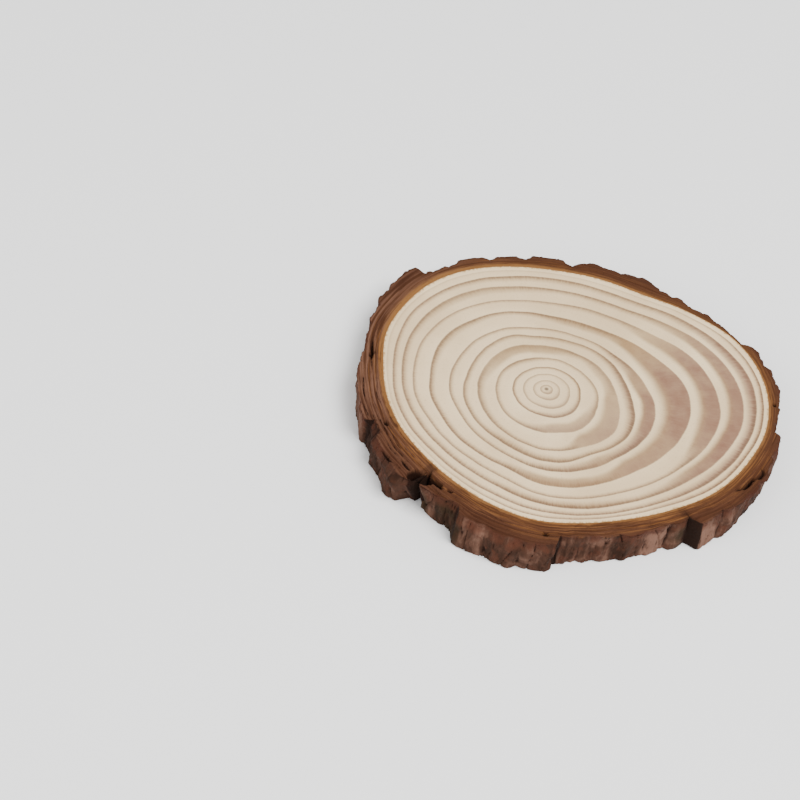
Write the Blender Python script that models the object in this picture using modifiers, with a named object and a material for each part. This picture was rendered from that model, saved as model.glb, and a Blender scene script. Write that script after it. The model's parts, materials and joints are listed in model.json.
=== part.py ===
"""A round slice sawn across a young conifer log, with its bark still on.

The slice lies flat: its sawn underside is at z = 0 and its sanded face at the top.
It grew as one piece, so it is one solid. Wood fills the inside of the growth line,
and the bark's plates, with the splits between them, stand outside that line.

Every reach is measured from the pith, the point that the tree grew round, and every
angle runs anticlockwise from +X. The pith stands off the origin, because the log
grew faster on its +X side.
"""

import math
from collections import namedtuple

import bpy
from mathutils import Vector, noise

MM = 0.001

THICKNESS = 10.0 * MM
PITH = Vector((-6.15 * MM, 0.48 * MM, 0.0))

# How far the wood reaches from the pith, in millimetres, every 15 degrees.
WOOD_REACH = (
    55.3, 56.2, 54.8, 51.0, 45.3, 44.1,
    44.1, 44.6, 45.0, 44.8, 43.7, 41.9,
    40.3, 39.6, 39.4, 39.0, 40.0, 41.2,
    42.3, 42.4, 43.9, 46.0, 49.1, 52.3,
)

# A plate of bark: the angle where it starts, in degrees, how far its rim reaches on
# the face at its start and at its end, and how much further it reaches on the slice's
# side, in millimetres.
Plate = namedtuple("Plate", "start rim_start rim_end side")

BARK_PLATES = (
    Plate(1.5, 57.4, 59.0, 0.0), Plate(10.0, 59.1, 59.0, 0.1),
    Plate(20.0, 58.0, 58.3, 0.0), Plate(26.0, 58.2, 57.2, 0.0),
    Plate(28.5, 55.5, 53.6, 0.1), Plate(39.5, 53.5, 53.7, 0.0),
    Plate(43.0, 52.9, 51.4, 0.2), Plate(46.5, 51.4, 51.7, 0.3),
    Plate(53.0, 50.6, 50.1, 0.4), Plate(57.0, 50.4, 51.0, 0.2),
    Plate(65.0, 50.4, 49.8, 0.4), Plate(70.0, 49.1, 49.1, 0.3),
    Plate(75.5, 49.4, 49.2, 0.1), Plate(80.0, 48.9, 47.5, 0.2),
    Plate(84.0, 46.3, 46.7, 0.3), Plate(87.5, 48.0, 48.2, 0.2),
    Plate(94.0, 48.2, 47.8, 0.3), Plate(99.5, 46.8, 46.8, 0.2),
    Plate(102.0, 47.6, 47.8, 0.1), Plate(110.5, 47.2, 47.3, 0.2),
    Plate(112.5, 48.0, 49.0, 0.3), Plate(122.0, 48.0, 47.5, 0.2),
    Plate(126.0, 47.9, 47.9, 0.1), Plate(132.0, 48.2, 48.3, 0.3),
    Plate(136.0, 51.7, 51.9, -1.2), Plate(141.0, 51.3, 50.5, -0.8),
    Plate(147.5, 50.0, 49.3, -0.4), Plate(155.0, 48.6, 48.0, -0.2),
    Plate(162.5, 47.1, 46.3, 0.0), Plate(171.0, 46.1, 45.5, 0.2),
    Plate(175.5, 46.6, 46.4, -0.6), Plate(187.0, 46.8, 46.6, -0.8),
    Plate(197.0, 46.8, 47.0, -0.6), Plate(204.0, 44.3, 43.4, 1.5),
    Plate(209.5, 45.3, 46.6, 1.2), Plate(221.0, 46.6, 46.2, 2.4),
    Plate(229.5, 43.5, 41.9, -0.2), Plate(233.3, 46.1, 45.5, -0.5),
    Plate(243.5, 44.6, 44.8, 0.6), Plate(247.0, 46.7, 47.4, 1.3),
    Plate(258.0, 47.9, 48.4, 1.4), Plate(266.5, 48.4, 48.7, 0.6),
    Plate(273.5, 46.1, 46.0, 0.4), Plate(280.5, 46.1, 46.0, 0.1),
    Plate(284.5, 46.2, 46.3, -0.1), Plate(289.0, 46.6, 47.0, -0.3),
    Plate(296.0, 47.4, 47.9, -0.3), Plate(303.5, 48.2, 48.7, -0.6),
    Plate(310.5, 49.3, 49.6, -0.1), Plate(315.8, 48.2, 47.9, -0.4),
    Plate(318.2, 52.4, 53.4, 0.2), Plate(326.0, 54.5, 55.6, -0.2),
    Plate(335.0, 56.2, 56.6, -0.5), Plate(341.0, 57.2, 57.2, -0.5),
    Plate(350.0, 57.4, 58.5, 0.2), Plate(357.5, 56.9, 56.8, 0.2),
)

PLATE_EDGE = 1.0  # degrees over which one plate's reach turns into the next one's
SIDE_START = 2.5 * MM  # how far below the face a plate takes its reach on the side
SPLIT_DEPTH = (0.1 * MM, 0.7 * MM)  # shallowest and deepest split between plates
SPLIT_HALF_WIDTH = 1.1  # degrees from the middle of a split to its lip
SPLIT_WANDER = 1.4  # degrees that a split strays as it runs down the side
RIDGE_HEIGHT = 0.4 * MM  # of the upright ridges on the plates
RIDGE_SPACING = 2.4  # degrees from one upright ridge to the next
RIDGE_LENGTH = 6.0 * MM  # height over which a ridge keeps its shape
LUMP_HEIGHT = 0.3 * MM
LUMP_SIZE = 3.0 * MM
LEAST_BARK = 0.4 * MM
FULL_RELIEF_BARK = 3.0 * MM  # bark this thick carries its relief at full height
FACE_CHIP = 0.7 * MM  # how far the rim's worst chips lie below the face
FOOT_CHIP = 0.3 * MM
CHIP_SIZE = 3.5 * MM

# A split that opens along the bark's layers on the face: the angles where it starts
# and ends, in degrees, its depth at its start, middle and end, in millimetres, its
# place in the bark at each end, from 0 at the wood to 1 at the rim, and how far its
# lips are from its middle at each end, as shares of the bark.
LayerSplit = namedtuple(
    "LayerSplit", "start end depths share_start share_end lip_start lip_end"
)

LAYER_SPLITS = (
    LayerSplit(167.0, 177.0, (0.0, 1.6, 2.8), 0.75, 0.55, 0.09, 0.13),
    LayerSplit(232.2, 238.6, (6.0, 5.0, 1.0), 0.63, 0.36, 0.33, 0.06),
    LayerSplit(333.0, 344.5, (0.0, 2.8, 1.2), 0.42, 0.75, 0.1, 0.12),
)

STEPS_ROUND = 360
# Radii of the blank that is turned first: 1 is the growth line, and 2 the bark's rim.
GROWTH_LINE = 1.0
SPLIT_LAYER = 1.5
FACE_LAYERS = (1.25, SPLIT_LAYER, 1.75)
BARK_RIM = 2.0
FOOT_LAYERS = (1.5,)
SIDE_LEVELS = (1.0, 0.9, 0.74, 0.56, 0.38, 0.2, 0.07, 0.0)

WOOD_TONE = (0.63, 0.53, 0.4, 1.0)
MERGE_DISTANCE = 0.00001
SEED_SHIFT = Vector((17.3, 5.1, 9.7))


def clear_scene():
    for thing in list(bpy.data.objects):
        bpy.data.objects.remove(thing, do_unlink=True)


def blend(start, end, share):
    return start + (end - start) * share


def smooth_step(share):
    share = min(1.0, max(0.0, share))
    return share * share * (3.0 - 2.0 * share)


def around(angle, period, row):
    """A point on a circle, where noise repeats after a full turn.

    The circle is as long as the turn measured in periods, and row tells one use of
    the noise from another.
    """
    radius = 360.0 / period / math.tau
    turn = math.radians(angle)
    return Vector((radius * math.cos(turn), radius * math.sin(turn), row)) + SEED_SHIFT


def wood_reach(angle):
    """How far the wood reaches at this angle, on a smooth closed curve."""
    spacing = 360.0 / len(WOOD_REACH)
    place = (angle % 360.0) / spacing
    index = int(place)
    share = place - index
    before, here, after, beyond = (
        WOOD_REACH[(index + step) % len(WOOD_REACH)] for step in (-1, 0, 1, 2)
    )
    slope_here = (after - before) / 2.0
    slope_after = (beyond - here) / 2.0
    rise = after - here
    square = 3.0 * rise - 2.0 * slope_here - slope_after
    cube = slope_here + slope_after - 2.0 * rise
    return (here + share * (slope_here + share * (square + share * cube))) * MM


def plate_at(angle):
    """The index of the plate at this angle, the way into it and its width."""
    for index, plate in enumerate(BARK_PLATES):
        width = (BARK_PLATES[(index + 1) % len(BARK_PLATES)].start - plate.start) % 360.0
        way_in = (angle - plate.start) % 360.0
        if way_in < width:
            return index, way_in, width
    raise ValueError("the plates leave a gap")


def plate_reach(plate, share, side_share):
    """How far a plate reaches at a share of its width, between its rim and its side."""
    return (blend(plate.rim_start, plate.rim_end, share) + plate.side * side_share) * MM


def split_depth(index):
    """The depth of the split at the start of a plate."""
    shallow, deep = SPLIT_DEPTH
    draw = 0.5 + 0.9 * noise.noise(Vector((index * 1.7, 0.4, 2.0)) + SEED_SHIFT)
    return blend(shallow, deep, min(1.0, max(0.0, draw)))


def plates_reach(angle, height):
    """How far the plates reach at an angle and a height, with the splits in them."""
    strayed = angle + SPLIT_WANDER * noise.noise(around(angle, 12.0, height / RIDGE_LENGTH))
    index, way_in, width = plate_at(strayed)
    side_share = smooth_step((THICKNESS - height) / SIDE_START)
    before = BARK_PLATES[index - 1]
    here = BARK_PLATES[index]
    after = BARK_PLATES[(index + 1) % len(BARK_PLATES)]
    reach = plate_reach(here, way_in / width, side_share)
    way_out = width - way_in
    half_edge = PLATE_EDGE / 2.0
    if way_in < half_edge:
        end_before = plate_reach(before, 1.0, side_share)
        reach = blend(end_before, reach, smooth_step(0.5 + way_in / PLATE_EDGE))
    if way_out < half_edge:
        start_after = plate_reach(after, 0.0, side_share)
        reach = blend(start_after, reach, smooth_step(0.5 + way_out / PLATE_EDGE))
    reach -= split_depth(index) * (1.0 - smooth_step(way_in / SPLIT_HALF_WIDTH))
    following = (index + 1) % len(BARK_PLATES)
    reach -= split_depth(following) * (1.0 - smooth_step(way_out / SPLIT_HALF_WIDTH))
    return reach


def bark_relief(angle, height):
    """The upright ridges of the plates, with the lumps that break them up."""
    ridge = noise.noise(around(angle, RIDGE_SPACING, height / RIDGE_LENGTH))
    lump_turn = math.degrees(LUMP_SIZE / wood_reach(angle))
    lump = noise.noise(around(angle, lump_turn, 40.0 + height / LUMP_SIZE))
    return RIDGE_HEIGHT * ridge + LUMP_HEIGHT * lump


def bark_thickness(angle, height):
    """From the wood to the bark's surface at an angle and a height."""
    thickness = plates_reach(angle, height) - wood_reach(angle)
    relief_share = min(1.0, max(0.0, thickness) / FULL_RELIEF_BARK)
    return max(LEAST_BARK, thickness + relief_share * bark_relief(angle, height))


def chip(angle, share, depth):
    """How far the bark is chipped away from a sawn face, at a share of its width."""
    chip_turn = math.degrees(CHIP_SIZE / wood_reach(angle))
    draw = 0.5 + noise.noise(around(angle, chip_turn, 80.0 + share))
    return depth * share * min(1.0, max(0.0, draw))


def layer_split_at(angle):
    """The layer split at this angle and the share of the way along it, or None."""
    for split in LAYER_SPLITS:
        if split.start < angle < split.end:
            return split, (angle - split.start) / (split.end - split.start)
    return None, 0.0


def split_sink(split, along):
    """How deep a layer split is at a share of the way along it."""
    start, middle, end = split.depths
    if along < 0.5:
        return blend(start, middle, along / 0.5) * MM
    return blend(middle, end, (along - 0.5) / 0.5) * MM


def face_layer(angle, layer):
    """A layer's place in the bark on the face, and how far a split sinks it there."""
    share = layer - GROWTH_LINE
    split, along = layer_split_at(angle)
    if split is None or layer == BARK_RIM:
        return share, 0.0
    middle = blend(split.share_start, split.share_end, along)
    if layer == SPLIT_LAYER:
        return middle, split_sink(split, along)
    lip = blend(split.lip_start, split.lip_end, along)
    return middle + math.copysign(lip, layer - SPLIT_LAYER), 0.0


def grown_place(blank):
    """Where a point of the turned blank lies on the slice that grew."""
    layer = round(math.hypot(blank.x, blank.y), 4)
    height = blank.z * THICKNESS
    if layer == 0.0:
        return PITH + Vector((0.0, 0.0, height))
    outward = Vector((blank.x, blank.y, 0.0)).normalized()
    angle = math.degrees(math.atan2(blank.y, blank.x)) % 360.0
    reach = wood_reach(angle)
    if layer > GROWTH_LINE:
        share = layer - GROWTH_LINE
        sunk = 0.0
        if blank.z == 1.0:
            share, sunk = face_layer(angle, layer)
            height -= chip(angle, share, FACE_CHIP) + sunk
        elif blank.z == 0.0:
            height += chip(angle, share, FOOT_CHIP)
        reach += share * bark_thickness(angle, height + sunk)
    return PITH + outward * reach + Vector((0.0, 0.0, height))


def blank_profile():
    """Half the blank's section, from the axis on its face to the axis on its foot."""
    face = [(0.0, 1.0), (GROWTH_LINE, 1.0)] + [(layer, 1.0) for layer in FACE_LAYERS]
    side = [(BARK_RIM, level) for level in SIDE_LEVELS]
    foot = [(layer, 0.0) for layer in FOOT_LAYERS] + [(GROWTH_LINE, 0.0), (0.0, 0.0)]
    return face + side + foot


def turned_blank():
    """The blank that the slice is shaped from, turned from its profile."""
    points = [(radius, 0.0, level) for radius, level in blank_profile()]
    edges = [(step, step + 1) for step in range(len(points) - 1)]
    profile = bpy.data.meshes.new("blank_profile")
    profile.from_pydata(points, edges, [])
    blank = bpy.data.objects.new("blank", profile)
    bpy.context.scene.collection.objects.link(blank)
    screw = blank.modifiers.new("turn", "SCREW")
    screw.steps = STEPS_ROUND
    screw.render_steps = STEPS_ROUND
    screw.use_merge_vertices = True
    screw.merge_threshold = MERGE_DISTANCE
    return blank


def wood_material():
    material = bpy.data.materials.new("conifer_wood")
    material.use_nodes = True
    shader = material.node_tree.nodes["Principled BSDF"]
    shader.inputs["Base Color"].default_value = WOOD_TONE
    shader.inputs["Roughness"].default_value = 0.7
    shader.inputs["Metallic"].default_value = 0.0
    return material


def build_slice():
    blank = turned_blank()
    graph = bpy.context.evaluated_depsgraph_get()
    mesh = bpy.data.meshes.new_from_object(blank.evaluated_get(graph))
    bpy.data.objects.remove(blank, do_unlink=True)
    for vertex in mesh.vertices:
        vertex.co = grown_place(vertex.co.copy())
    mesh.materials.clear()
    mesh.materials.append(wood_material())
    mesh.name = "wood_slice"
    wood_slice = bpy.data.objects.new("wood_slice", mesh)
    group = bpy.data.collections.new("wood_slice")
    bpy.context.scene.collection.children.link(group)
    group.objects.link(wood_slice)


clear_scene()
build_slice()
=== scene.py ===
"""Dresses a slice of a young conifer: ringed wood, layered bark and a plain studio.

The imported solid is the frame. Two finer pieces stand for it: the wood inside the
growth line and the bark round it. Reaches are measured from the pith, and angles run
anticlockwise from +X.
"""

import json
import logging
import math
from dataclasses import dataclass, field
from enum import Enum
from typing import Sequence

import bpy
import numpy as np
from mathutils import Matrix, Vector, noise
from mathutils.bvhtree import BVHTree


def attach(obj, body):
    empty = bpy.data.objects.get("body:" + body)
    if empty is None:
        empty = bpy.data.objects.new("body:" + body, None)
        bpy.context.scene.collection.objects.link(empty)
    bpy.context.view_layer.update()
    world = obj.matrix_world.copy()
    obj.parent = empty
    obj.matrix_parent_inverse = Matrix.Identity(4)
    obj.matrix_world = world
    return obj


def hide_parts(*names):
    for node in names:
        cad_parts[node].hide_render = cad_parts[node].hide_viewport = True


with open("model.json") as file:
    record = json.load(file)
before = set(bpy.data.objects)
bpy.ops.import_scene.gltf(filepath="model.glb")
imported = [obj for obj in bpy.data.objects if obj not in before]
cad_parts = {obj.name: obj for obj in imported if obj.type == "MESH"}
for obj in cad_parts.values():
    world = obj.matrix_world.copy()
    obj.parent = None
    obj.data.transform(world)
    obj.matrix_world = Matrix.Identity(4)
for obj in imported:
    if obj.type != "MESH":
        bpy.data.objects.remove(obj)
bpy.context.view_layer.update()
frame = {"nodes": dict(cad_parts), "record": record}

LOG = logging.getLogger("wood_slice")

MM = 0.001
NODE = "wood_slice"
BODY = "root"
NOISE_ORIGIN = Vector((31.7, 12.9, 4.3))
STEM_RADIUS = 45.0  # where patterns that follow the stem have their true spacing, in millimetres
STRONG_SIDE = 265.0  # the angle where the rings' lines show most
STRONGER_WIDTH = 0.1  # how much broader a ring's line is there, as a share
STRONGER_TONE = 0.12  # how much more it shows there, as a share
STRONGER_REDNESS = 0.15  # how much redder it is there

Colour = tuple[float, float, float]  # linear shares of red, green and blue
Scale = tuple[float, float, float]
Rim = tuple[float, float]  # a reach and a height, in metres


class SawnFace(Enum):
    """The two sawn faces, each with its height as a share of the thickness."""

    SANDED = 1.0
    UNDERSIDE = 0.0


class MixMode(Enum):
    """How one colour is laid over another."""

    COVER = "MIX"
    DARKEN = "MULTIPLY"


class Draw(Enum):
    """The uses of the noise on the bark, each with a row of its own."""

    SIDE_BEND = 0.0
    RIDGES = 100.0
    SCALES = 200.0
    CRACKS = 300.0
    GRIT = 400.0
    LAYER_BEND = 500.0
    SINKS = 600.0
    SLITS = 700.0
    FUZZ = 800.0


def daylight(red: int, green: int, blue: int) -> Colour:
    """Turns a colour as an eye reads it, from 0 to 255, into linear shares from 0 to 1."""
    shares = (channel / 255.0 for channel in (red, green, blue))
    return tuple(
        share / 12.92 if share <= 0.04045 else ((share + 0.055) / 1.055) ** 2.4
        for share in shares
    )


def smooth_step(share: float) -> float:
    """A share held between 0 and 1, eased at both ends."""
    share = min(1.0, max(0.0, share))
    return share * share * (3.0 - 2.0 * share)


def closed_curve(stations: Sequence[float], degrees: np.ndarray) -> np.ndarray:
    """Reads a smooth closed curve through stations that are evenly spread round.

    Args:
        stations: the curve's values, the first at 0 degrees.
        degrees: the angles to read it at.

    Returns:
        The curve's values at those angles.
    """
    values = np.asarray(stations, float)
    place = (degrees % 360.0) / (360.0 / len(values))
    index = np.floor(place).astype(int)
    share = place - index
    before, here, after, beyond = (
        values[(index + step) % len(values)] for step in (-1, 0, 1, 2)
    )
    slope_here = (after - before) / 2.0
    slope_after = (beyond - here) / 2.0
    rise = after - here
    square = 3.0 * rise - 2.0 * slope_here - slope_after
    cube = slope_here + slope_after - 2.0 * rise
    return here + share * (slope_here + share * (square + share * cube))


def turn_between(degrees: np.ndarray | float, middle: float) -> np.ndarray | float:
    """How far an angle or angles lie past another, from -180 to 180 degrees."""
    return (degrees - middle + 180.0) % 360.0 - 180.0


def lumps(degrees: float, period: float, row: float) -> float:
    """Noise that repeats after a full turn, read on a circle as long as the turn has periods.

    Args:
        degrees: the angle.
        period: how many degrees one lump of the noise takes.
        row: a height that keeps one use of the noise apart from another.

    Returns:
        The noise there, from about -1 to 1.
    """
    radius = 360.0 / period / math.tau
    turn = math.radians(degrees)
    place = Vector((radius * math.cos(turn), radius * math.sin(turn), row))
    return noise.noise(place + NOISE_ORIGIN)


def outward(degrees: float) -> Vector:
    """The level direction away from the pith at an angle."""
    turn = math.radians(degrees)
    return Vector((math.cos(turn), math.sin(turn), 0.0))


def places_round(
    pith: Vector, turns: np.ndarray, reach: np.ndarray, heights: np.ndarray
) -> np.ndarray:
    """The places of points round the pith, one row each, from their angles in radians."""
    columns = (pith.x + reach * np.cos(turns), pith.y + reach * np.sin(turns), heights)
    return np.stack(columns, axis=1)


def pattern_places(turns: np.ndarray, along: np.ndarray) -> np.ndarray:
    """Where points lie in a pattern that goes round the stem and along it, in millimetres."""
    columns = (STEM_RADIUS * np.cos(turns), STEM_RADIUS * np.sin(turns), along / MM)
    return np.stack(columns, axis=1)


def turn_blank(
    name: str, profile: Sequence[tuple[float, float]], steps: int
) -> bpy.types.Object:
    """Turns a section round the Z axis: a narrow wedge is spun, then doubled till it closes.

    Args:
        name: the blank's name.
        profile: the section's points, each a radius and a height.
        steps: how many columns of faces go round, a multiple of the number of wedges.

    Returns:
        The blank, closed and facing out.
    """
    doublings = 4
    seam = 0.02 * MM
    wedges = 2**doublings
    wedge = math.tau / wedges
    origin = (0.0, 0.0, 0.0)
    bpy.ops.object.select_all(action="DESELECT")
    bpy.ops.mesh.primitive_plane_add(size=1.0, location=(0.0, 0.0, 0.0))
    blank = bpy.context.object
    blank.name = name
    blank.data.name = name
    bpy.ops.object.mode_set(mode="EDIT")
    bpy.ops.mesh.select_mode(type="VERT")
    bpy.ops.mesh.select_all(action="SELECT")
    bpy.ops.mesh.merge(type="CENTER")
    points = [Vector((radius, 0.0, height)) for radius, height in profile]
    bpy.ops.transform.translate(value=points[0])
    for start, end in zip(points, points[1:]):
        bpy.ops.mesh.extrude_vertices_move(TRANSFORM_OT_translate={"value": end - start})
    bpy.ops.mesh.select_all(action="SELECT")
    bpy.ops.mesh.spin(steps=steps // wedges, angle=wedge, center=origin, axis=(0.0, 0.0, 1.0))
    for doubling in range(doublings):
        bpy.ops.mesh.select_all(action="SELECT")
        bpy.ops.mesh.duplicate()
        bpy.ops.transform.rotate(
            value=wedge * 2**doubling, orient_axis="Z", center_override=origin
        )
    bpy.ops.mesh.select_all(action="SELECT")
    bpy.ops.mesh.remove_doubles(threshold=seam)
    bpy.ops.mesh.normals_make_consistent(inside=False)
    bpy.ops.object.mode_set(mode="OBJECT")
    return blank


def read_places(mesh: bpy.types.Mesh) -> np.ndarray:
    """The places of a mesh's points, one row each."""
    places = np.zeros(len(mesh.vertices) * 3)
    mesh.vertices.foreach_get("co", places)
    return places.reshape(-1, 3)


def write_places(mesh: bpy.types.Mesh, places: np.ndarray) -> None:
    """Moves a mesh's points to new places, one row each."""
    mesh.vertices.foreach_set("co", places.astype(np.float32).ravel())
    mesh.update()


def write_values(
    mesh: bpy.types.Mesh, name: str, values: np.ndarray, domain: str = "POINT"
) -> None:
    """Keeps values on a mesh for its material to read.

    Args:
        mesh: the mesh.
        name: the attribute's name.
        values: one value a point or corner, or one row of three or four.
        domain: POINT or CORNER.
    """
    kinds = {1: ("FLOAT", "value"), 3: ("FLOAT_VECTOR", "vector"), 4: ("FLOAT_COLOR", "color")}
    width = 1 if values.ndim == 1 else values.shape[1]
    kind, key = kinds[width]
    layer = mesh.attributes.new(name, kind, domain)
    layer.data.foreach_set(key, values.astype(np.float32).ravel())


class Wire:
    """A number on a material's sheet of nodes, which arithmetic can be done with."""

    def __init__(self, sheet: "Sheet", socket: bpy.types.NodeSocket) -> None:
        """Wraps the output that carries the number."""
        self.sheet = sheet
        self.socket = socket

    def _math(self, operation: str, *values: "Wire | float", clamp: bool = False) -> "Wire":
        """Adds a Math node.

        Args:
            operation: the node's operation.
            *values: what goes into its sockets, in order.
            clamp: whether the result is held between 0 and 1.

        Returns:
            The result.
        """
        settings = {"operation": operation, "use_clamp": clamp}
        node = self.sheet.add("ShaderNodeMath", settings, dict(enumerate(values)))
        return Wire(self.sheet, node.outputs[0])

    def __add__(self, other: "Wire | float") -> "Wire":
        """This number plus another."""
        return self._math("ADD", self, other)

    __radd__ = __add__

    def __sub__(self, other: "Wire | float") -> "Wire":
        """This number less another."""
        return self._math("SUBTRACT", self, other)

    def __rsub__(self, other: "Wire | float") -> "Wire":
        """Another number less this one."""
        return self._math("SUBTRACT", other, self)

    def __mul__(self, other: "Wire | float") -> "Wire":
        """This number times another."""
        return self._math("MULTIPLY", self, other)

    __rmul__ = __mul__

    def __truediv__(self, other: "Wire | float") -> "Wire":
        """This number over another."""
        return self._math("DIVIDE", self, other)

    def held(self) -> "Wire":
        """This number held between 0 and 1."""
        return self._math("ADD", self, 0.0, clamp=True)

    def wave(self) -> "Wire":
        """The sine of this number."""
        return self._math("SINE", self)

    def ramp(self, low: float, high: float) -> "Wire":
        """How far this number has come from one value to another, eased.

        Args:
            low: the value that gives 0.
            high: the value that gives 1, which may be below the other.

        Returns:
            The share, from 0 to 1.
        """
        start, end, first, last = (low, high, 0.0, 1.0) if low < high else (high, low, 1.0, 0.0)
        node = self.sheet.add(
            "ShaderNodeMapRange",
            {"interpolation_type": "SMOOTHSTEP"},
            {"Value": self, "From Min": start, "From Max": end, "To Min": first, "To Max": last},
        )
        return Wire(self.sheet, node.outputs["Result"])


class Sheet:
    """The sheet of nodes of one material."""

    def __init__(self, name: str) -> None:
        """Starts a material with a Principled shader, under its name."""
        self.material = bpy.data.materials.new(name)
        self.material.use_nodes = True
        self.tree = self.material.node_tree
        self.shader = self.tree.nodes["Principled BSDF"]

    def add(self, kind: str, settings: dict, sockets: dict) -> bpy.types.Node:
        """Adds a node.

        Args:
            kind: the node's type.
            settings: its settings, with a ramp's stops under stops.
            sockets: a value or a link for each input, by name or place.

        Returns:
            The node.
        """
        node = self.tree.nodes.new(kind)
        for name, setting in settings.items():
            if name == "stops":
                self._set_stops(node.color_ramp, setting)
            else:
                setattr(node, name, setting)
        for name, value in sockets.items():
            self.feed(node.inputs[name], value)
        return node

    @staticmethod
    def _set_stops(ramp: bpy.types.ColorRamp, stops: Sequence[tuple[float, Colour]]) -> None:
        """Gives a colour ramp its stops, each a place from 0 to 1 and a colour."""
        for place, colour in stops[1:-1]:
            ramp.elements.new(place).color = (*colour, 1.0)
        for end in (0, -1):
            place, colour = stops[end]
            ramp.elements[end].position = place
            ramp.elements[end].color = (*colour, 1.0)

    def feed(self, socket: bpy.types.NodeSocket, value: object) -> None:
        """Links a wire or a socket to an input, or sets the input's own value."""
        source = value.socket if isinstance(value, Wire) else value
        if isinstance(source, bpy.types.NodeSocket):
            self.tree.links.new(source, socket)
        elif isinstance(value, tuple) and len(value) == 3 and socket.type == "RGBA":
            socket.default_value = (*value, 1.0)
        else:
            socket.default_value = value

    def attribute(self, name: str) -> bpy.types.Node:
        """The node that reads one of the piece's own attributes."""
        return self.add("ShaderNodeAttribute", {"attribute_name": name}, {})

    def number(self, name: str) -> Wire:
        """One of the piece's own numbers."""
        return Wire(self, self.attribute(name).outputs["Fac"])

    def parts(self, vector: bpy.types.NodeSocket) -> tuple[Wire, Wire, Wire]:
        """The three numbers of a vector."""
        node = self.add("ShaderNodeSeparateXYZ", {}, {0: vector})
        return tuple(Wire(self, output) for output in node.outputs)

    def place(self) -> bpy.types.NodeSocket:
        """Where a point of the piece is, in metres."""
        return self.add("ShaderNodeTexCoord", {}, {}).outputs["Object"]

    def scaled(self, vector: bpy.types.NodeSocket, scale: Scale) -> bpy.types.NodeSocket:
        """A vector with each of its numbers multiplied."""
        settings = {"operation": "MULTIPLY"}
        return self.add("ShaderNodeVectorMath", settings, {0: vector, 1: scale}).outputs[0]

    def combined(self, first: Wire, second: Wire, third: Wire) -> bpy.types.NodeSocket:
        """A vector made of three numbers."""
        return self.add("ShaderNodeCombineXYZ", {}, {0: first, 1: second, 2: third}).outputs[0]

    def grain(
        self,
        vector: bpy.types.NodeSocket,
        scale: float,
        detail: float = 2.0,
        roughness: float = 0.5,
        distortion: float = 0.0,
    ) -> Wire:
        """Cloudy noise.

        Args:
            vector: where it is read.
            scale: how many lumps go into a unit of the vector.
            detail: how many finer layers it has.
            roughness: how strong the finer layers are.
            distortion: how far it is stirred.

        Returns:
            The noise, about 0.5 on average.
        """
        sockets = {"Vector": vector, "Scale": scale, "Detail": detail}
        sockets |= {"Roughness": roughness, "Distortion": distortion}
        return Wire(self, self.add("ShaderNodeTexNoise", {}, sockets).outputs["Fac"])

    def tint(
        self,
        factor: Wire | float,
        under: bpy.types.NodeSocket | Colour,
        over: bpy.types.NodeSocket | Colour,
        mode: MixMode = MixMode.COVER,
    ) -> bpy.types.NodeSocket:
        """Lays one colour over another.

        Args:
            factor: how far it covers.
            under: the colour below.
            over: the colour above.
            mode: how it is laid.

        Returns:
            The colour that shows.
        """
        settings = {"data_type": "RGBA", "blend_type": mode.value}
        node = self.add("ShaderNodeMix", settings, {0: factor, 6: under, 7: over})
        return node.outputs[2]

    def coats(
        self,
        base: bpy.types.NodeSocket | Colour,
        *layers: tuple[Wire | float, bpy.types.NodeSocket | Colour],
    ) -> bpy.types.NodeSocket:
        """Lays colours over a base, one after another.

        Args:
            base: the colour at the bottom.
            *layers: how far each colour covers, and the colour.

        Returns:
            The colour that shows.
        """
        for factor, over in layers:
            base = self.tint(factor, base, over)
        return base

    def ramp_colour(
        self, factor: Wire, stops: Sequence[tuple[float, Colour]]
    ) -> bpy.types.NodeSocket:
        """The colour at a place on a row of stops."""
        return self.add("ShaderNodeValToRGB", {"stops": stops}, {"Fac": factor}).outputs["Color"]

    def relief(self, height: Wire, unit: float, strength: float) -> bpy.types.NodeSocket:
        """The surface's direction once a relief is laid on it, its unit in metres."""
        sockets = {"Height": height, "Distance": unit, "Strength": strength}
        return self.add("ShaderNodeBump", {}, sockets).outputs["Normal"]

    def finished(self, sockets: dict) -> bpy.types.Material:
        """Feeds the shader's inputs, each by its name, and hands the material over."""
        for name, value in sockets.items():
            self.feed(self.shader.inputs[name], value)
        return self.material


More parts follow.
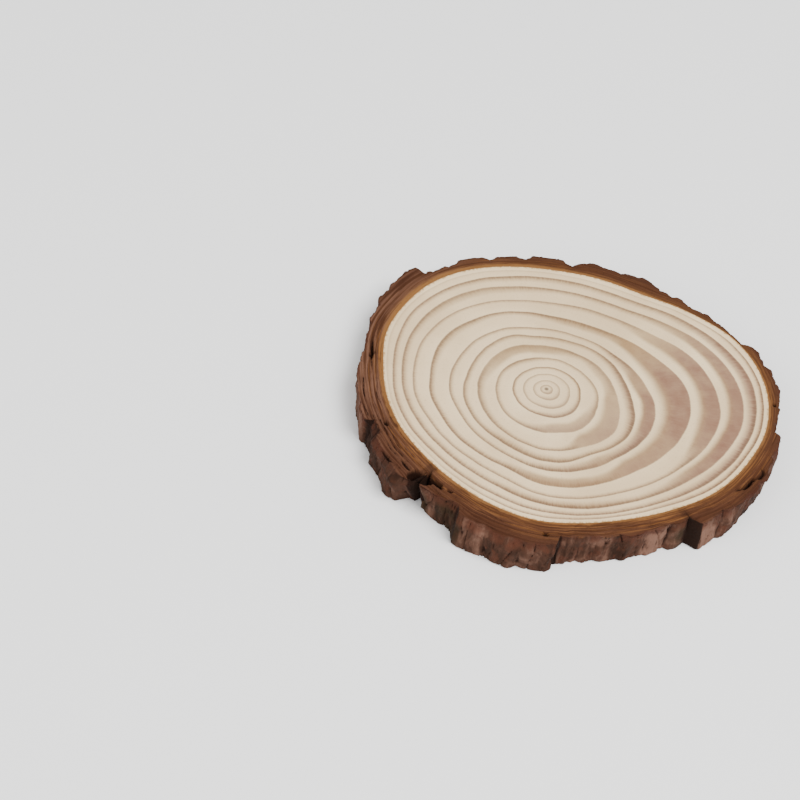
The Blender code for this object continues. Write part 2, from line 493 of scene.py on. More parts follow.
@dataclass(frozen=True)
class SandedWood:
    """Bare end grain: pale early wood, darker late wood, and grain across the rings.

    Attributes:
        ragged_edge: how far late wood strays at its edge, in millimetres.
        broad_band: the widths between which late wood turns from a line to a broad
            band, in millimetres.
        ragged_bast: how far the bast's colour strays into the wood, in millimetres.
        relief: how high the grain stands, in metres.
        blade_centre: where the middle of the saw's blade was, in metres.
        blade_step: from one of its marks to the next, in metres.
    """

    early: Colour = daylight(227, 202, 160)
    early_shade: Colour = daylight(211, 185, 144)
    early_warm: Colour = daylight(194, 163, 123)
    late_tan: Colour = daylight(143, 110, 70)
    late_dark: Colour = daylight(100, 76, 55)
    late_red: Colour = daylight(124, 89, 69)
    pith: Colour = daylight(84, 68, 52)
    bast: Colour = daylight(139, 99, 46)
    unsanded: Colour = daylight(206, 190, 168)
    roughness: float = 0.62
    ragged_edge: float = 0.35
    broad_band: tuple[float, float] = (2.4, 4.5)
    ragged_bast: float = 1.5
    relief: float = 0.06 * MM
    blade_centre: tuple[float, float, float] = (-0.19, -0.11, 0.0)
    blade_step: float = 1.3 * MM

    def material(self, thickness: float) -> bpy.types.Material:
        """Builds the wood's material.

        Args:
            thickness: the slice's thickness, in metres.

        Returns:
            The material.
        """
        sheet = Sheet("sanded_conifer_end_grain")
        ring = sheet.attribute("ring")
        parts = sheet.add("ShaderNodeSeparateColor", {}, {0: ring.outputs["Color"]})
        from_edge, width, tone = (Wire(sheet, output) for output in parts.outputs)
        redness = Wire(sheet, ring.outputs["Alpha"])
        rays = sheet.attribute("rays").outputs["Vector"]
        place = sheet.place()
        # On the rays a scale is lumps to a millimetre, and on the place lumps to a metre.
        fibre = sheet.grain(sheet.scaled(rays, (2.2, 2.2, 0.3)), 1.0, 3.0, 0.6)
        ragged = sheet.grain(sheet.scaled(rays, (1.3, 1.3, 0.9)), 1.0, 2.0, 0.6) - 0.5
        cloud = sheet.grain(place, 45.0, 3.0, 0.55)
        mottle = sheet.grain(place, 240.0, 3.0, 0.6)
        speck = sheet.grain(place, 1900.0, 2.0, 0.6)

        # Late wood is dark at the ring's edge and fades inwards, a broad band less soon.
        stirred = from_edge + ragged * self.ragged_edge
        span = stirred / width
        broad = width.ramp(*self.broad_band)
        line_fall = span.ramp(1.0, 0.15)
        fall = line_fall + broad * (span.ramp(1.0, 0.62) - line_fall)
        late = fall * stirred.ramp(-0.25, 0.35)
        uneven = fibre + broad * 0.75 * (mottle - fibre)
        late_shown = (late * tone * (0.9 + (0.9 - 0.5 * broad) * (uneven - 0.5))).held()
        shoulder = span.ramp(3.4, 0.7) * (0.15 + 0.25 * mottle)
        core = span.ramp(0.5, 0.1) * late * tone * (1.0 - broad)
        core_shown = (core * (0.45 + 0.9 * fibre)).held()
        red_shown = (redness * span.ramp(1.0, 0.4) * (0.55 + 0.9 * mottle)).held()
        to_pith = sheet.number("to_pith")
        to_bark = sheet.number("to_bark") + ragged * self.ragged_bast
        colour = sheet.coats(
            self.early,
            (cloud.ramp(0.35, 0.7), self.early_shade),
            (fibre.ramp(0.5, 0.8) * 0.3, self.early_shade),
            (shoulder * (1.0 - broad), self.early_warm),
            (late_shown, sheet.tint(red_shown, self.late_tan, self.late_red)),
            (core_shown * 0.8, self.late_dark),
            (speck.ramp(0.55, 0.75) * 0.2, self.late_red),
            (to_pith.ramp(0.8, 0.25) * 0.85, self.pith),
            (to_bark.ramp(0.35, 0.0) * 0.7, self.bast),
        )
        _, _, height = sheet.parts(place)
        under = height.ramp(0.5 * thickness, 0.4 * thickness)
        stands = 0.35 * fibre + 0.25 * speck - 0.3 * late_shown
        stands = stands + under * self._saw_marks(sheet, place) * 0.9
        return sheet.finished(
            {
                "Base Color": sheet.tint(under * 0.5, colour, self.unsanded, MixMode.DARKEN),
                "Roughness": (0.05 * fibre + self.roughness).held(),
                "Specular IOR Level": 0.3,
                "Normal": sheet.relief(stands, self.relief, 0.6),
            }
        )

    def _saw_marks(self, sheet: Sheet, place: bpy.types.NodeSocket) -> Wire:
        """The shallow arcs that a round blade leaves on the face that isn't sanded."""
        settings = {"operation": "DISTANCE"}
        from_blade = sheet.add("ShaderNodeVectorMath", settings, {0: place, 1: self.blade_centre})
        distance = Wire(sheet, from_blade.outputs["Value"])
        return (distance * (math.tau / self.blade_step)).wave() * 0.5 + 0.5


@dataclass(frozen=True)
class DryBark:
    """Bark that is orange-brown where it is sawn and grey-brown where it weathered.

    Attributes:
        relief: how high its threads and streaks stand, in metres.
        layers_end: the depth at which the sawn layers' colours end, in millimetres.
    """

    bast: Colour = daylight(126, 86, 48)
    inner: Colour = daylight(80, 50, 28)
    middle: Colour = daylight(69, 40, 23)
    outer: Colour = daylight(62, 35, 21)
    thread: Colour = daylight(128, 84, 44)
    pink_layer: Colour = daylight(104, 73, 57)
    shade: Colour = daylight(46, 23, 13)
    dark_plate: Colour = daylight(43, 26, 17)
    plain_plate: Colour = daylight(70, 46, 35)
    pale_plate: Colour = daylight(112, 82, 68)
    red_scale: Colour = daylight(78, 44, 31)
    # Painted shade, laid under the sawn rim, in hollows, in recesses and in sunk pits; the same
    # colour also gives fine dark specks of the bark's own.
    crevice_shade_and_speck: Colour = daylight(32, 15, 8)
    # Moss-green, and dark enough to be partly painted shade in the hollows it tints.
    moss_and_shade: Colour = daylight(45, 35, 22)
    # Painted shade on the end walls of the plates.
    deep: Colour = daylight(30, 16, 9)
    roughness: float = 0.83
    relief: float = 0.35 * MM
    layers_end: float = 8.0

    def material(self, thickness: float) -> bpy.types.Material:
        """Builds the bark's material.

        Args:
            thickness: the slice's thickness, in metres.

        Returns:
            The material.
        """
        sheet = Sheet("dry_conifer_bark")
        depth, to_rim, height = sheet.parts(sheet.attribute("layers").outputs["Vector"])
        tone, hollow, mossy = sheet.parts(sheet.attribute("site").outputs["Vector"])
        cut = sheet.attribute("cut").outputs["Vector"]
        stem = sheet.attribute("stem").outputs["Vector"]
        recess = sheet.number("recess")
        shaded_wall = sheet.number("shaded_wall")
        sawn = sheet.number("sawn")
        weathered = 1.0 - sawn
        below_face = thickness / MM - height
        place = sheet.place()
        # On the place a scale is lumps to a metre, and on the stem lumps to a millimetre.
        cloud = sheet.grain(place, 190.0, 3.0, 0.6)
        fine = sheet.grain(place, 1400.0, 3.0, 0.65)
        upright = sheet.grain(sheet.scaled(stem, (0.85, 0.85, 0.22)), 1.0, 4.0, 0.6)

        sawn_colour, strands = self._sawn(sheet, stem, depth, cut)
        skin = sheet.coats(
            self._skin(sheet, stem, upright, tone),
            # Moss-green tint in the listed hollows, partly painted shade.
            ((mossy * cloud.ramp(0.32, 0.55) * 0.8).held(), self.moss_and_shade),
            (below_face.ramp(4.0, 1.5) * cloud.ramp(0.38, 0.58) * 0.75, self.red_scale),
            # Painted shadow along the side just under the sawn rim.
            (below_face.ramp(2.5, 0.3) * 0.3, self.crevice_shade_and_speck),
        )
        skin_shown = weathered + sawn * to_rim.ramp(0.45, 0.1) * cloud.ramp(0.35, 0.6)
        # Painted shade where the sawn bark lies well below the face, as in its pits.
        sunk_shade = below_face.ramp(0.8, 2.2) * height.ramp(1.0, 2.0)
        colour = sheet.coats(
            sawn_colour,
            (skin_shown.held(), skin),
            # Painted shade on plates that lie behind their neighbours.
            (hollow.ramp(0.5, 3.0) * (1.0 - 0.6 * sawn), self.crevice_shade_and_speck),
            # Painted shade in the side's recesses, from how far each point lies below the
            # smoothed surface.
            (recess.ramp(0.06, 0.4) * 0.9, self.crevice_shade_and_speck),
            # Painted shade on the plates' end walls.
            (shaded_wall * weathered, self.deep),
            (sunk_shade * sawn * 0.95, self.crevice_shade_and_speck),
            (fine.ramp(0.42, 0.25) * 0.4, self.crevice_shade_and_speck),
        )
        stands = sawn * 1.1 * strands + weathered * 1.2 * upright + 0.5 * fine
        return sheet.finished(
            {
                "Base Color": colour,
                "Roughness": (0.1 * fine + self.roughness).held(),
                "Specular IOR Level": 0.1,
                "Normal": sheet.relief(stands, self.relief, 0.8),
            }
        )

    def _sawn(
        self, sheet: Sheet, stem: bpy.types.NodeSocket, depth: Wire, cut: bpy.types.NodeSocket
    ) -> tuple[bpy.types.NodeSocket, Wire]:
        """The layers as the saw shows them, in long threads that follow the wood.

        Args:
            sheet: the sheet.
            stem: where a point is round the stem.
            depth: how deep in the bark it is, in millimetres from the wood.
            cut: how the saw left it: the golden layer's width, the roughness, the pinkness.

        Returns:
            The colour, and how far each thread stands up.
        """
        stem_x, stem_y, _ = sheet.parts(stem)
        golden, torn_up, pinkness = sheet.parts(cut)

        def threads(round_scale: float, across_scale: float, roughness: float) -> Wire:
            """Noise drawn out along the layers, its scales in lumps to a millimetre."""
            x, y, across = stem_x * round_scale, stem_y * round_scale, depth * across_scale
            return sheet.grain(sheet.combined(x, y, across), 1.0, 3.0, roughness)

        strands = threads(0.05, 1.7, 0.65)
        hairs = threads(0.08, 2.9, 0.7)
        torn = threads(0.25, 1.1, 0.6)
        strayed = depth + (torn - 0.5) * (0.9 + 1.5 * torn_up)
        stops = ((0.05, self.inner), (0.3, self.middle), (0.65, self.outer), (1.0, self.outer))
        bast_shown = (strayed / golden).ramp(1.4, 0.55) * (0.5 + 0.28 * golden)
        bright = hairs.ramp(0.5, 0.66) * depth.ramp(7.0, 0.5) * (0.2 + 0.7 * torn_up)
        pink = strands.ramp(0.4, 0.6) * depth.ramp(0.6, 1.6) * pinkness
        dark = strands.ramp(0.47, 0.33) * depth.ramp(0.7, 2.2) * (0.14 + 0.34 * torn_up)
        fine_dark = hairs.ramp(0.47, 0.33) * depth.ramp(0.1, 0.8) * (0.15 + 0.5 * torn_up)
        colour = sheet.coats(
            sheet.ramp_colour(strayed / self.layers_end, stops),
            (bast_shown.held(), self.bast),
            (bright, self.thread),
            (pink, self.pink_layer),
            (dark, self.shade),
            (fine_dark, self.shade),
        )
        return colour, (0.6 * strands + 0.4 * hairs) * (0.4 + 0.8 * torn_up)

    def _skin(
        self, sheet: Sheet, stem: bpy.types.NodeSocket, upright: Wire, tone: Wire
    ) -> bpy.types.NodeSocket:
        """The weathered side, in upright streaks, with its own tone on each plate.

        Args:
            sheet: the sheet.
            stem: where a point is round the stem.
            upright: streaks that run up the stem.
            tone: how pale the plate is, from 0 to 1, partly from painted light and shade.

        Returns:
            The colour.
        """
        patches = sheet.grain(sheet.scaled(stem, (0.24, 0.24, 0.15)), 1.0, 3.0, 0.6, 0.5)
        flakes = sheet.grain(sheet.scaled(stem, (0.5, 0.5, 0.3)), 1.0, 3.0, 0.6, 0.8)
        # Each plate's tone is partly painted light and shade.
        plate_tone_and_light = (tone + (patches - 0.5) * 1.8 + (upright - 0.5) * 0.6).held()
        stops = ((0.0, self.dark_plate), (0.5, self.plain_plate), (1.0, self.pale_plate))
        return sheet.coats(
            sheet.ramp_colour(plate_tone_and_light, stops),
            (flakes.ramp(0.52, 0.66) * 0.55, self.red_scale),
            (upright.ramp(0.54, 0.72) * (0.12 + 0.4 * tone), self.pale_plate),
            (upright.ramp(0.44, 0.28) * 0.65, self.dark_plate),
        )


@dataclass(frozen=True)
class Band:
    """A stretch where a ring's late wood is broad, as on the side that leans.

    Attributes:
        middle: the angle of its middle, in degrees.
        spread: the angle from its middle to where it has faded out.
        width: how much late wood it adds, in millimetres.
        redness: how red it is, from 0 to 1.
        tone: how strongly it shows, from 0 to 1.
        level: the share of its spread over which it keeps its full width.
    """

    middle: float
    spread: float
    width: float
    redness: float
    tone: float
    level: float = 0.25

    def share(self, degrees: np.ndarray) -> np.ndarray:
        """How much of the band is there at each angle, from 0 to 1."""
        turn = np.abs(turn_between(degrees, self.middle))
        near = np.clip((self.spread - turn) / (self.spread * (1.0 - self.level)), 0.0, 1.0)
        return near * near * (3.0 - 2.0 * near)


@dataclass(frozen=True)
class Ring:
    """One year's growth.

    Attributes:
        reach: how far its outer edge is from the pith, in millimetres, at stations
            that are evenly spread round, the first at 0 degrees.
        line: the width of its late wood away from any band, in millimetres.
        tone: how strongly that line shows, from 0 to 1.
        redness: how red that line is, from 0 to 1.
        bands: the stretches where the late wood is broad.
    """

    reach: tuple[float, ...]
    line: float
    tone: float
    redness: float
    bands: tuple[Band, ...] = ()

    def late_wood(self, degrees: np.ndarray) -> tuple[np.ndarray, np.ndarray, np.ndarray]:
        """The late wood's width in millimetres, its tone and its redness at each angle."""
        width = np.full_like(degrees, self.line)
        tone = np.full_like(degrees, self.tone)
        redness = np.full_like(degrees, self.redness)
        for band in self.bands:
            share = band.share(degrees)
            width += share * band.width
            tone += share * (band.tone - tone)
            redness += share * (band.redness - redness)
        facing = 0.5 + 0.5 * np.cos(np.radians(degrees - STRONG_SIDE))
        width *= 1.0 + STRONGER_WIDTH * facing
        tone *= 1.0 + STRONGER_TONE * facing
        return width, tone, redness + STRONGER_REDNESS * facing


CRISP_RING = (
    8.5, 8.5, 8.4, 8.2, 8.0, 7.9, 7.7, 7.5, 7.6, 7.6, 7.8, 8.1,
    8.3, 8.6, 8.7, 9.0, 9.1, 9.2, 9.4, 9.7, 9.7, 9.6, 9.2, 8.8,
)


def seedling_ring(share: float, tone: float) -> Ring:
    """A faint ring of the first years: the crisp one at a share of its size, and a tone."""
    reach = tuple(share * station for station in CRISP_RING)
    return Ring(reach, 0.9, tone, 0.3, (Band(300.0, 70.0, 0.6, 0.6, tone),))


# From the pith out: each ring's reach, then its line's width, tone and redness, then its bands.
RINGS = (
    seedling_ring(0.19, 0.55),
    seedling_ring(0.4, 0.5),
    seedling_ring(0.69, 0.55),
    Ring(
        CRISP_RING,
        1.1, 0.85, 0.2,
        (Band(20.0, 50.0, 0.0, 0.1, 1.0), Band(300.0, 60.0, 0.9, 0.6, 0.75)),
    ),
    Ring(
        (
            13.0, 12.5, 11.9, 11.4, 11.2, 11.1, 10.9, 10.8, 11.0, 11.3, 11.7, 12.1,
            12.4, 12.8, 13.3, 14.0, 14.3, 14.5, 14.7, 14.5, 14.9, 14.6, 13.9, 13.3,
        ),
        1.4, 0.65, 0.1,
        (Band(300.0, 64.0, 2.1, 0.7, 0.7), Band(130.0, 40.0, 0.6, 0.1, 0.8)),
    ),
    Ring(
        (
            17.8, 17.1, 16.6, 16.3, 15.6, 15.3, 15.1, 15.2, 15.8, 16.1, 16.1, 16.3,
            16.8, 17.4, 17.9, 18.5, 19.0, 19.6, 20.3, 20.3, 20.1, 20.5, 20.4, 19.1,
        ),
        1.5, 0.7, 0.1,
        (
            Band(116.0, 80.0, 2.1, 0.05, 0.88),
            Band(190.0, 60.0, 0.8, 0.1, 0.7),
            Band(328.0, 48.0, 4.4, 0.7, 0.75),
            Band(25.0, 40.0, 1.8, 0.3, 0.75),
        ),
    ),
    Ring(
        (
            21.5, 20.6, 20.2, 20.0, 19.4, 18.7, 18.4, 18.5, 19.6, 19.7, 19.5, 19.5,
            20.0, 21.0, 21.5, 21.8, 22.0, 22.7, 23.8, 24.0, 22.9, 23.3, 23.7, 22.9,
        ),
        1.7, 0.75, 0.1,
        (
            Band(100.0, 60.0, 0.3, 0.05, 0.75),
            Band(265.0, 40.0, 0.8, 0.15, 0.85),
            Band(5.0, 60.0, 1.1, 0.6, 0.95),
        ),
    ),
    Ring(
        (
            27.0, 25.3, 23.9, 22.5, 21.9, 21.3, 21.3, 21.4, 22.3, 22.7, 23.0, 23.2,
            23.9, 24.2, 24.0, 24.4, 24.7, 25.4, 26.6, 27.0, 26.8, 26.5, 27.1, 27.5,
        ),
        1.4, 0.7, 0.2,
        (
            Band(348.0, 58.0, 2.7, 0.95, 0.95),
            Band(30.0, 30.0, 1.0, 0.5, 0.9),
            Band(290.0, 38.0, 1.4, 0.4, 0.85),
        ),
    ),
    Ring(
        (
            35.8, 35.2, 32.0, 29.5, 27.3, 26.3, 26.1, 27.0, 28.0, 28.5, 29.2, 29.2,
            28.8, 29.1, 28.7, 28.8, 28.7, 29.0, 31.1, 31.9, 31.8, 32.1, 33.4, 34.9,
        ),
        1.8, 0.8, 0.25,
        (
            Band(356.0, 63.0, 7.3, 1.0, 0.98),
            Band(326.0, 24.0, 0.0, 0.6, 0.86),
            Band(66.0, 48.0, 1.4, 0.1, 0.98),
            Band(150.0, 30.0, 0.8, 0.1, 0.8),
            Band(280.0, 35.0, 1.5, 0.2, 0.9),
        ),
    ),
    Ring(
        (
            43.1, 42.5, 40.1, 35.7, 33.2, 31.9, 31.0, 31.3, 32.2, 33.0, 33.3, 33.4,
            33.0, 32.9, 32.1, 31.7, 31.6, 32.3, 34.4, 35.4, 35.7, 36.9, 38.7, 41.2,
        ),
        1.3, 0.65, 0.3,
        (Band(12.0, 50.0, 4.7, 1.0, 0.98), Band(62.0, 40.0, 1.0, 0.1, 0.7)),
    ),
    Ring(
        (
            48.8, 48.9, 46.3, 41.9, 37.9, 36.6, 36.1, 36.3, 37.2, 37.6, 37.3, 36.7,
            35.9, 35.5, 34.8, 34.3, 34.5, 35.4, 37.2, 38.3, 39.0, 40.4, 42.9, 46.0,
        ),
        1.8, 0.75, 0.3,
        (
            Band(3.0, 60.0, 2.9, 1.0, 0.98),
            Band(62.0, 35.0, 0.6, 0.1, 0.8),
            Band(122.0, 45.0, 1.2, 0.05, 0.75),
            Band(280.0, 35.0, 0.7, 0.2, 0.9),
        ),
    ),
    Ring(
        (
            51.8, 52.7, 50.1, 46.1, 41.9, 40.5, 40.2, 40.2, 40.8, 40.9, 40.6, 39.3,
            38.1, 37.8, 37.5, 36.8, 37.2, 38.1, 39.6, 40.3, 41.2, 43.0, 46.0, 49.1,
        ),
        1.5, 0.75, 0.45,
        (Band(6.0, 62.0, 1.8, 1.0, 1.0), Band(88.0, 68.0, 1.1, 0.1, 0.8)),
    ),
    Ring(
        (
            53.6, 54.6, 52.8, 48.3, 43.9, 42.4, 42.0, 42.3, 43.0, 43.1, 42.4, 41.3,
            39.6, 39.0, 38.6, 38.1, 38.6, 39.9, 41.2, 41.5, 42.3, 44.4, 47.9, 50.7,
        ),
        0.9, 0.2, 0.5,
        (Band(352.0, 66.0, 0.5, 0.5, 1.0), Band(280.0, 60.0, 0.1, 0.5, 0.65)),
    ),
    Ring(
        (
            54.7, 55.8, 54.4, 49.7, 45.3, 44.0, 43.2, 43.6, 44.4, 44.4, 43.3, 42.3,
            40.4, 39.7, 39.3, 39.0, 39.6, 41.0, 42.3, 42.5, 43.4, 45.7, 49.0, 51.8,
        ),
        0.3, 0.1, 0.2,
    ),
)


@dataclass
class WoodDisc:
    """The wood inside the growth line, one row of faces after another out from the pith.

    Attributes:
        pith: the point on the floor under the pith.
        thickness: the slice's thickness, in metres.
        rings: the years' growth, from the pith out.
        finish: what it is dressed in.
        steps: how many columns of faces go round.
        row: about how wide a row of faces is, in metres.
        waver: how far a ring's edge strays from its curve, in metres.
        waver_period: how many degrees it takes to stray and return.
        calm_rings: how many rings, from the pith out, stray less than the rest.
        widest_line: the largest share of a ring's width that is late wood.
        sharp_edge: the angle past which an edge is shaded sharp, in degrees.
    """

    pith: Vector
    thickness: float
    rings: tuple[Ring, ...] = RINGS
    finish: SandedWood = field(default_factory=SandedWood)
    steps: int = 720
    row: float = 1.0 * MM
    waver: float = 0.12 * MM
    waver_period: float = 7.0
    calm_rings: float = 6.0
    widest_line: float = 0.95
    sharp_edge: float = 40.0

    def edges(self, degrees: np.ndarray) -> np.ndarray:
        """How far each ring's outer edge reaches, after a first row of zeros for the pith.

        Args:
            degrees: the angles to read them at.

        Returns:
            One row a ring and one column an angle, in metres.
        """
        rows = [np.zeros_like(degrees)]
        for index, ring in enumerate(self.rings):
            reach = closed_curve(ring.reach, degrees) * MM
            if index < len(self.rings) - 1:
                share = min(1.0, (index + 1) / self.calm_rings)
                reach = reach + share * self.waver * self._stray(degrees, index)
            rows.append(reach)
        return np.stack(rows)

    def _stray(self, degrees: np.ndarray, index: int) -> np.ndarray:
        """How far a ring strays at each angle, from about -1 to 1."""
        angles, back = np.unique(np.round(degrees, 4), return_inverse=True)
        drawn = [lumps(angle, self.waver_period, 3.0 * index) for angle in angles]
        return np.asarray(drawn)[back]

    def _ages(self) -> list[float]:
        """The rows' places in whole and part rings, out from the pith."""
        ages = [0.0]
        mean_edge = 0.0
        for index, ring in enumerate(self.rings):
            edge = sum(ring.reach) / len(ring.reach) * MM
            rows = max(2, round((edge - mean_edge) / self.row))
            ages += [index + (row + 1) / rows for row in range(rows)]
            mean_edge = edge
        return ages

    def build(self) -> bpy.types.Object:
        """Models the disc.

        Returns:
            The disc, its rows lying along the rings.
        """
        ages = self._ages()
        upper = [(age, SawnFace.SANDED.value) for age in ages]
        lower = [(age, SawnFace.UNDERSIDE.value) for age in reversed(ages)]
        disc = turn_blank("wood_disc", upper + lower, self.steps)
        mesh = disc.data
        blank = read_places(mesh)
        age = np.round(np.hypot(blank[:, 0], blank[:, 1]), 4)
        turn = np.arctan2(blank[:, 1], blank[:, 0])
        degrees = np.degrees(turn) % 360.0
        edges = self.edges(degrees)
        index = np.clip(np.ceil(age).astype(int) - 1, 0, len(self.rings) - 1)
        column = np.arange(len(age))
        inner = edges[index, column]
        outer = edges[index + 1, column]
        reach = inner + (age - index) * (outer - inner)
        heights = np.round(blank[:, 2], 4) * self.thickness
        write_places(mesh, places_round(self.pith, turn, reach, heights))
        self._keep_ring_values(mesh, age, degrees, edges)
        write_values(mesh, "rays", pattern_places(turn, reach))
        write_values(mesh, "to_pith", reach / MM)
        write_values(mesh, "to_bark", (edges[-1] - reach) / MM)
        return disc

    def _keep_ring_values(
        self, mesh: bpy.types.Mesh, age: np.ndarray, degrees: np.ndarray, edges: np.ndarray
    ) -> None:
        """Keeps on each corner of a face how far inside its ring's edge it is, and the look.

        Args:
            mesh: the disc's mesh.
            age: each point's place in whole and part rings.
            degrees: each point's angle.
            edges: each ring's reach at each point's angle.
        """
        corners = np.zeros(len(mesh.loops), int)
        mesh.loops.foreach_get("vertex_index", corners)
        starts = np.zeros(len(mesh.polygons), int)
        mesh.polygons.foreach_get("loop_start", starts)
        counts = np.diff(np.append(starts, len(corners)))
        middle = np.add.reduceat(age[corners], starts) / counts
        face_ring = np.clip(np.floor(middle).astype(int), 0, len(self.rings) - 1)
        ring_index = np.repeat(face_ring, counts)
        phase = np.clip(age[corners] - ring_index, 0.0, 1.0)
        ring_width = (edges[ring_index + 1, corners] - edges[ring_index, corners]) / MM
        values = np.zeros((len(corners), 4))
        values[:, 0] = (1.0 - phase) * ring_width
        for index, ring in enumerate(self.rings):
            own = ring_index == index
            width, tone, redness = ring.late_wood(degrees[corners[own]])
            values[own, 1] = np.minimum(width, self.widest_line * ring_width[own])
            values[own, 2] = tone
            values[own, 3] = redness
        write_values(mesh, "ring", values, "CORNER")

    def dress(self, disc: bpy.types.Object) -> None:
        """Gives the disc its finish and its place on the frame."""
        disc.data.materials.append(self.finish.material(self.thickness))
        disc.data.shade_smooth()
        bpy.ops.object.select_all(action="DESELECT")
        disc.select_set(True)
        bpy.context.view_layer.objects.active = disc
        bpy.ops.object.shade_smooth_by_angle(angle=math.radians(self.sharp_edge))
        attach(disc, BODY)
        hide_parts(NODE)


class SolidForm:
    """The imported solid, felt from outside with rays."""

    def __init__(self, node: bpy.types.Object, pith: Vector) -> None:
        """Gets the solid ready.

        Args:
            node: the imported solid.
            pith: the point on the floor under the pith.
        """
        mesh = node.data
        places = [vertex.co.copy() for vertex in mesh.vertices]
        self.tree = BVHTree.FromPolygons(places, [tuple(face.vertices) for face in mesh.polygons])
        self.pith = pith
        self.far = 0.2

    def reach(self, degrees: float, height: float) -> float:
        """How far the solid reaches from the pith at an angle and a height."""
        out = outward(degrees)
        start = self.pith + Vector((0.0, 0.0, height)) + out * self.far
        _, _, _, distance = self.tree.ray_cast(start, -out)
        return self.far - distance

    def height(self, degrees: float, reach: float, face: SawnFace) -> float:
        """How high one of the sawn faces lies at an angle and a reach."""
        up = 1.0 if face is SawnFace.SANDED else -1.0
        start = self.pith + outward(degrees) * reach + Vector((0.0, 0.0, up * self.far))
        hit, _, _, _ = self.tree.ray_cast(start, Vector((0.0, 0.0, -up)))
        return hit.z


@dataclass(frozen=True)
class Pit:
    """A small hole in the sawn bark, longer round the slice than across the bark.

    Attributes:
        angle: the angle of its middle, in degrees.
        reach: how far its middle is from the pith, in millimetres.
        half_turn: the angle from its middle to its end, in degrees.
        half_width: from its middle to its side, in millimetres.
        depth: how deep it is, in millimetres.
    """

    angle: float
    reach: float
    half_turn: float
    half_width: float
    depth: float

    def sink(self, degrees: float, reach: float) -> float:
        """How far it sinks the face at an angle and a reach, all in millimetres."""
        turn = turn_between(degrees, self.angle)
        off = math.hypot(turn / self.half_turn, (reach - self.reach) / self.half_width)
        return self.depth * smooth_step(1.5 - off)


